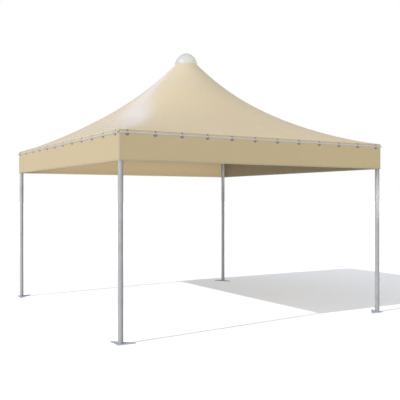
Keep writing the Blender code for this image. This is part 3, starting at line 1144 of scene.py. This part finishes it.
@dataclass
class CornerRods:
    """Slim rods in the upright corner seams of the valances.

    Attributes:
        radius: Radius of a rod.
        axis: From the tent's axis to a rod's, along each side.
        foot: Height of the lower end.
        length: Length of a rod.
        ease: How far its rims are cut back.
    """

    radius: float = 0.004
    axis: float = 1.996
    foot: float = 2.010
    length: float = 0.2954
    ease: float = 0.001

    def build(self, finishes: Finishes) -> list[Object]:
        """Build the four rods.

        Args:
            finishes: Materials of the tent.

        Returns:
            The new pieces.
        """
        profile = tube_profile(self.radius, self.radius, self.length, self.ease)
        place = Matrix.Translation((-self.axis, -self.axis, self.foot))
        bm = turned(profile, 16, place, closed=False)
        return all_round(bm, Corner, "corner_seam_rod", finishes.rod, "corner_rod")


@dataclass
class PeakCap:
    """Moulded cap over the mast head: a dome with a slightly pointed top.

    Attributes:
        foot: Height of the rim.
        wall: Thickness of the moulding.
        profile: Radius and height above the rim of the outer face, from the rim up.
    """

    foot: float = 3.6306
    wall: float = 0.003
    profile: tuple[tuple[float, float], ...] = (
        (0.1677, -0.011), (0.1683, -0.008), (0.1681, 0.008), (0.1672, 0.018), (0.1652, 0.028),
        (0.1624, 0.038), (0.1588, 0.048), (0.1545, 0.058), (0.1495, 0.068), (0.1438, 0.078),
        (0.1375, 0.088), (0.1302, 0.0985), (0.1220, 0.109), (0.1128, 0.1195), (0.1020, 0.130),
        (0.0890, 0.140), (0.0730, 0.1495), (0.0540, 0.158), (0.0340, 0.1655), (0.0150, 0.171),
        (0.0054, 0.1733), (0.0, 0.1745),
    )

    def build(self, finishes: Finishes) -> list[Object]:
        """Build the cap.

        Args:
            finishes: Materials of the tent.

        Returns:
            The cap, as the one new piece.
        """
        bm = turned(self.profile, 72, Matrix.Translation((0, 0, self.foot)), closed=False)
        cap = finished(bm, "peak_cap_moulding", finishes.cap, crease=50.0)
        bm.free()
        thicken(cap, self.wall, offset=-1.0)
        cast_no_shade(cap)
        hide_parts("peak_cap")
        return [cap]


@dataclass
class RoundTubes:
    """Posts, arms and mast as smooth tubes over the same axes as in the frame.

    Attributes:
        post_radius: Outer radius of a post, and of the mast.
        post_wall: Thickness of its wall.
        arm_radius: Outer radius of an arm.
        arm_wall: Thickness of its wall.
        ease: How far the outer rims are cut back.
        steps: Steps round a tube.
    """

    post_radius: float = 0.03015
    post_wall: float = 0.0029
    arm_radius: float = 0.02415
    arm_wall: float = 0.0025
    ease: float = 0.0006
    steps: int = 48

    def upright(self, node: str) -> BMesh:
        """Turn an upright tube that fills the box of a node.

        Args:
            node: Name of the node.

        Returns:
            The tube.
        """
        low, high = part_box(node)
        centre = (low + high) / 2
        profile = tube_profile(self.post_radius, self.post_wall, high.z - low.z, self.ease)
        place = Matrix.Translation((centre.x, centre.y, low.z))
        return turned(profile, self.steps, place, closed=True)

    def arm(self, node: str) -> BMesh:
        """Turn the front left arm, along the diagonal of its node's box.

        Args:
            node: Name of the node.

        Returns:
            The tube.
        """
        low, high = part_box(node)
        height = (low.z + high.z) / 2
        reach = self.arm_radius / math.sqrt(2)
        start = Vector((high.x - reach, high.y - reach, height))
        end = Vector((low.x + reach, low.y + reach, height))
        profile = tube_profile(self.arm_radius, self.arm_wall, (end - start).length, self.ease)
        return turned(profile, self.steps, pointing(end - start, start), closed=True)

    def build(self, finishes: Finishes) -> list[Object]:
        """Build the posts, the arms and the mast.

        Args:
            finishes: Materials of the tent.

        Returns:
            The new pieces.
        """
        post, arm = self.upright("post_front_left"), self.arm("roof_arm_front_left")
        posts = all_round(post, Corner, "post_tube", finishes.tube, "post")
        arms = all_round(arm, Corner, "arm_tube", finishes.tube, "roof_arm")
        bm = self.upright("mast")
        mast = finished(bm, "mast_tube", finishes.tube)
        bm.free()
        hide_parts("mast")
        return [*posts, *arms, mast]


@dataclass
class FrameSteel:
    """Steel that stays as packed, with its finish and its bolts.

    Attributes:
        post_axis: From the tent's axis to a post's, along each side.
        post_radius: Outer radius of a post.
        bolt_heights: Heights of the bolts through the foot and the head of each post.
        beam_axis: From the tent's axis to a beam's.
        beam_half: Half the width of a beam.
        beam_height: Height of the axes of beams and arms.
        beam_bolt: From a beam's middle to its bolt.
        arm_bolts: From the tent's axis to the inner and the outer bolt of an arm.
        arm_radius: Outer radius of an arm.
    """

    post_axis: float = 1.96755
    post_radius: float = RoundTubes.post_radius
    bolt_heights: tuple[float, float] = (0.070, 2.266)
    beam_axis: float = 1.9727
    beam_half: float = 0.025
    beam_height: float = 2.3307
    beam_bolt: float = 1.8577
    arm_bolts: tuple[float, float] = (0.115, 2.608)
    arm_radius: float = RoundTubes.arm_radius

    def dress(self, finishes: Finishes) -> None:
        """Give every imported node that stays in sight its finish.

        Args:
            finishes: Materials of the tent.
        """
        for prefix, material in (
            ("base_plate", finishes.plate), ("corner_connector", finishes.plate),
            ("eaves_beam", finishes.tube), ("mast_hub", finishes.plate),
            ("mast_head", finishes.plate),
        ):
            for name, node in frame["nodes"].items():
                if name.startswith(prefix):
                    node.data.materials.clear()
                    node.data.materials.append(material)

    def bolt_shape(self) -> BMesh:
        """Place the bolts of the front left corner: post, ends of both beams, and arm.

        Returns:
            The bolts.
        """
        inward, up = Vector((1, 1, 0)).normalized(), Vector((0, 0, 1))
        post = Vector((-self.post_axis, -self.post_axis, 0)) + inward * self.post_radius
        inner_face = -self.beam_axis + self.beam_half
        under = up * (self.beam_height - self.arm_radius)
        bm = bmesh.new()
        for place in (
            *[pointing(inward, post + up * height) for height in self.bolt_heights],
            pointing((0, 1, 0), (-self.beam_bolt, inner_face, self.beam_height)),
            pointing((1, 0, 0), (inner_face, -self.beam_bolt, self.beam_height)),
            *[pointing((0, 0, -1), under - inward * reach) for reach in self.arm_bolts],
        ):
            bolt = HexBolt().shape(place)
            pour(bolt, bm)
            bolt.free()
        return bm

    def build(self, finishes: Finishes) -> list[Object]:
        """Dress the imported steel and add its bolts.

        Args:
            finishes: Materials of the tent.

        Returns:
            The new pieces.
        """
        self.dress(finishes)
        return all_round(self.bolt_shape(), Corner, "frame_bolts", finishes.bolt)


@dataclass(frozen=True)
class SoftBox:
    """Rectangular studio light.

    Attributes:
        name: Name of the light.
        place: Where it hangs.
        aim: Point that it looks at.
        size: Width and height.
        watts: Power.
        colour: Colour of its light, as sRGB hex.
        spread: Angle of its beam in degrees.
        gloss: Whether it shows only as a reflection, or else only lights what it meets.
        shade: Whether what it meets casts a shadow.
        only: Names of the pieces that it lights, or none where it lights them all.
    """

    name: str
    place: tuple[float, float, float]
    aim: tuple[float, float, float]
    size: tuple[float, float]
    watts: float
    colour: str = "#FFFFFF"
    spread: float = 180.0
    gloss: bool = False
    shade: bool = True
    only: tuple[str, ...] = ()


@dataclass
class Studio:
    """Floor, light and camera.

    Attributes:
        camera_place: Where the camera stands.
        heading: How far it looks to the right of +Y, in degrees.
        focal_pixels: Focal length in pixels of the photograph.
        principal: Where the level line of sight meets the photograph, in pixels.
        sun_travel: Direction in which the sunlight travels.
        sun_strength: Strength of the sun.
        sun_colour: Colour of its light, as sRGB hex.
        sun_width: Angle that its disc spans, in degrees, which softens the shadows' edges.
        sky_sides: Direction and brightness of each bright side of the sky.
        boxes: Soft boxes: a narrow beam without shadow that passes under the front valance to
            the back one, a light for the cap alone, two from the left for the posts alone, and a
            cool one whose reflection lies by the near hip.
        floor_reach: From the tent to the edge of the floor.
        floor_drop: How far the floor lies below the foot plates, so that they don't flicker.
        sensor_mm: Width of the camera's sensor.
        sight: How far the camera sees.
    """

    camera_place: tuple[float, float, float] = (-4.813, -8.317, 1.589)
    heading: float = 30.05
    focal_pixels: float = 632.0
    principal: tuple[float, float] = (186.0, 199.0)
    sun_travel: tuple[float, float, float] = (0.8425, 0.0877, -0.5315)
    sun_strength: float = 3.35
    sun_colour: str = "#E5EBFF"
    sun_width: float = 0.6
    sky_sides: tuple[tuple[tuple[float, float, float], float], ...] = (
        ((-1.0, 0.0, 0.0), 1.78), ((1.0, 0.0, 0.0), 0.67), ((0.0, 1.0, 0.0), 0.67),
        ((0.0, -1.0, 0.0), 2.35), ((0.0, 0.0, 1.0), 0.28),
    )
    boxes: tuple[SoftBox, ...] = (
        SoftBox("under_fill", (0.3, -12.0, 0.1), (0.3, 2.0, 2.16), (4.2, 0.1), 8.27, spread=4.0,
                shade=False),
        SoftBox("cap_fill", (4.6, -6.55, 4.7), (0.0, 0.0, 3.7), (1.5, 1.5), 320.0,
                only=("peak_cap_moulding",)),
        SoftBox("post_fill", (-28.2, -10.2, 2.0), (0.0, 0.0, 1.2), (3.0, 3.0), 5500.0,
                only=("post_tube_front_left", "post_tube_front_right", "post_tube_back_right")),
        SoftBox("far_post_fill", (-28.2, -10.2, 2.0), (0.0, 0.0, 1.2), (3.0, 3.0), 10500.0,
                only=("post_tube_back_left",)),
        SoftBox("roof_gloss", (2.1, 9.55, 9.05), (-1.05, -0.65, 2.83), (2.5, 2.5), 32.0,
                colour="#A0BEFF", gloss=True),
    )
    floor_reach: float = 300.0
    floor_drop: float = 0.0005
    sensor_mm: float = 36.0
    sight: float = 1000.0

    def set_camera(self) -> None:
        """Make the camera at the photograph's place and angle."""
        data = bpy.data.cameras.new("photo_camera")
        data.sensor_width = self.sensor_mm
        data.lens = data.sensor_width * self.focal_pixels / PHOTO_PIXELS
        data.shift_x = (PHOTO_PIXELS / 2 - self.principal[0]) / PHOTO_PIXELS
        data.shift_y = (self.principal[1] - PHOTO_PIXELS / 2) / PHOTO_PIXELS
        data.clip_end = self.sight
        camera = bpy.data.objects.new("photo_camera", data)
        camera.location = self.camera_place
        camera.rotation_euler = (QUARTER, 0.0, -math.radians(self.heading))
        bpy.context.scene.collection.objects.link(camera)
        bpy.context.scene.camera = camera

    def set_floor(self) -> None:
        """Lay the floor."""
        bm = bmesh.new()
        bmesh.ops.create_grid(bm, x_segments=1, y_segments=1, size=self.floor_reach)
        bmesh.ops.translate(bm, verts=bm.verts, vec=(0, 0, -self.floor_drop))
        mesh = bpy.data.meshes.new("studio_floor")
        bm.to_mesh(mesh)
        bm.free()
        mesh.materials.append(StudioFloor().make())
        floor = bpy.data.objects.new("studio_floor", mesh)
        bpy.context.scene.collection.objects.link(floor)

    def set_sky(self) -> None:
        """Set a soft sky, brightest in front and on the left, and show it as plain white."""
        world = bpy.data.worlds.new("studio_sky")
        world.use_nodes = True
        tree = world.node_tree
        place = add_node(tree, "ShaderNodeTexCoord").outputs["Generated"]
        total = None
        for direction, strength in self.sky_sides:
            facing = add_node(tree, "ShaderNodeVectorMath", {1: direction}, {0: place},
                              operation="DOT_PRODUCT").outputs["Value"]
            facing = add_node(tree, "ShaderNodeMath", {1: 0.0}, {0: facing},
                              operation="MAXIMUM").outputs[0]
            square = add_node(tree, "ShaderNodeMath", None, {0: facing, 1: facing},
                              operation="MULTIPLY").outputs[0]
            links = {0: square} if total is None else {0: square, 2: total}
            total = add_node(tree, "ShaderNodeMath", {1: strength, 2: 0.0}, links,
                             operation="MULTIPLY_ADD").outputs[0]
        seen = add_node(tree, "ShaderNodeLightPath").outputs["Is Camera Ray"]
        shown = add_node(tree, "ShaderNodeMix", {"B": 1.0}, {"Factor": seen, "A": total},
                         data_type="FLOAT")
        background = tree.nodes["Background"]
        background.inputs["Color"].default_value = linear("#FFFFFF")
        tree.links.new(shown.outputs["Result"], background.inputs["Strength"])
        bpy.context.scene.world = world

    def set_sun(self) -> None:
        """Set the sun, low on the left."""
        data = bpy.data.lights.new("sun", "SUN")
        data.energy = self.sun_strength
        data.color = linear(self.sun_colour)[:3]
        data.angle = math.radians(self.sun_width)
        sun = bpy.data.objects.new("sun", data)
        sun.rotation_euler = Vector(self.sun_travel).to_track_quat("-Z", "Y").to_euler()
        bpy.context.scene.collection.objects.link(sun)

    def add_box(self, light: SoftBox) -> None:
        """Hang a soft box that the camera doesn't see.

        Args:
            light: The soft box.
        """
        data = bpy.data.lights.new(light.name, "AREA")
        data.shape = "RECTANGLE"
        data.size, data.size_y = light.size
        data.energy = light.watts
        data.color = linear(light.colour)[:3]
        data.spread = math.radians(light.spread)
        data.use_shadow = light.shade
        box = bpy.data.objects.new(light.name, data)
        box.location = light.place
        box.rotation_euler = (
            Vector(light.aim) - Vector(light.place)).to_track_quat("-Z", "Y").to_euler()
        box.visible_camera = False
        box.visible_glossy = light.gloss
        box.visible_diffuse = not light.gloss
        bpy.context.scene.collection.objects.link(box)
        if light.only:
            receivers = bpy.data.collections.new(f"{light.name}_receivers")
            for name in light.only:
                receivers.objects.link(bpy.data.objects[name])
            box.light_linking.receiver_collection = receivers

    def build(self) -> None:
        """Set up the whole studio, with plain colours as on a screen."""
        bpy.context.scene.view_settings.view_transform = "Standard"
        self.set_camera()
        self.set_floor()
        self.set_sky()
        self.set_sun()
        for light in self.boxes:
            self.add_box(light)


def clear_startup() -> None:
    """Remove objects of the start-up file that aren't part of the frame."""
    kept = set(frame["nodes"].values()) | set(frame["bodies"].values())
    for obj in list(bpy.data.objects):
        if obj not in kept:
            bpy.data.objects.remove(obj, do_unlink=True)


def main() -> None:
    """Build every sub-assembly, then the studio, whose lights name some of the pieces."""
    logging.basicConfig(level=logging.INFO, format="%(name)s: %(message)s")
    clear_startup()
    finishes = Finishes()
    for assembly in (FrameSteel(), RoundTubes(), Roof(), Valances(), ClampRails(), CornerRods(),
                     PeakCap()):
        for piece in assembly.build(finishes):
            LOG.info("%s: %s built, %d faces", type(assembly).__name__, piece.name,
                     len(piece.data.polygons))
    Studio().build()
    LOG.info("studio set")


if __name__ == "__main__":
    main()
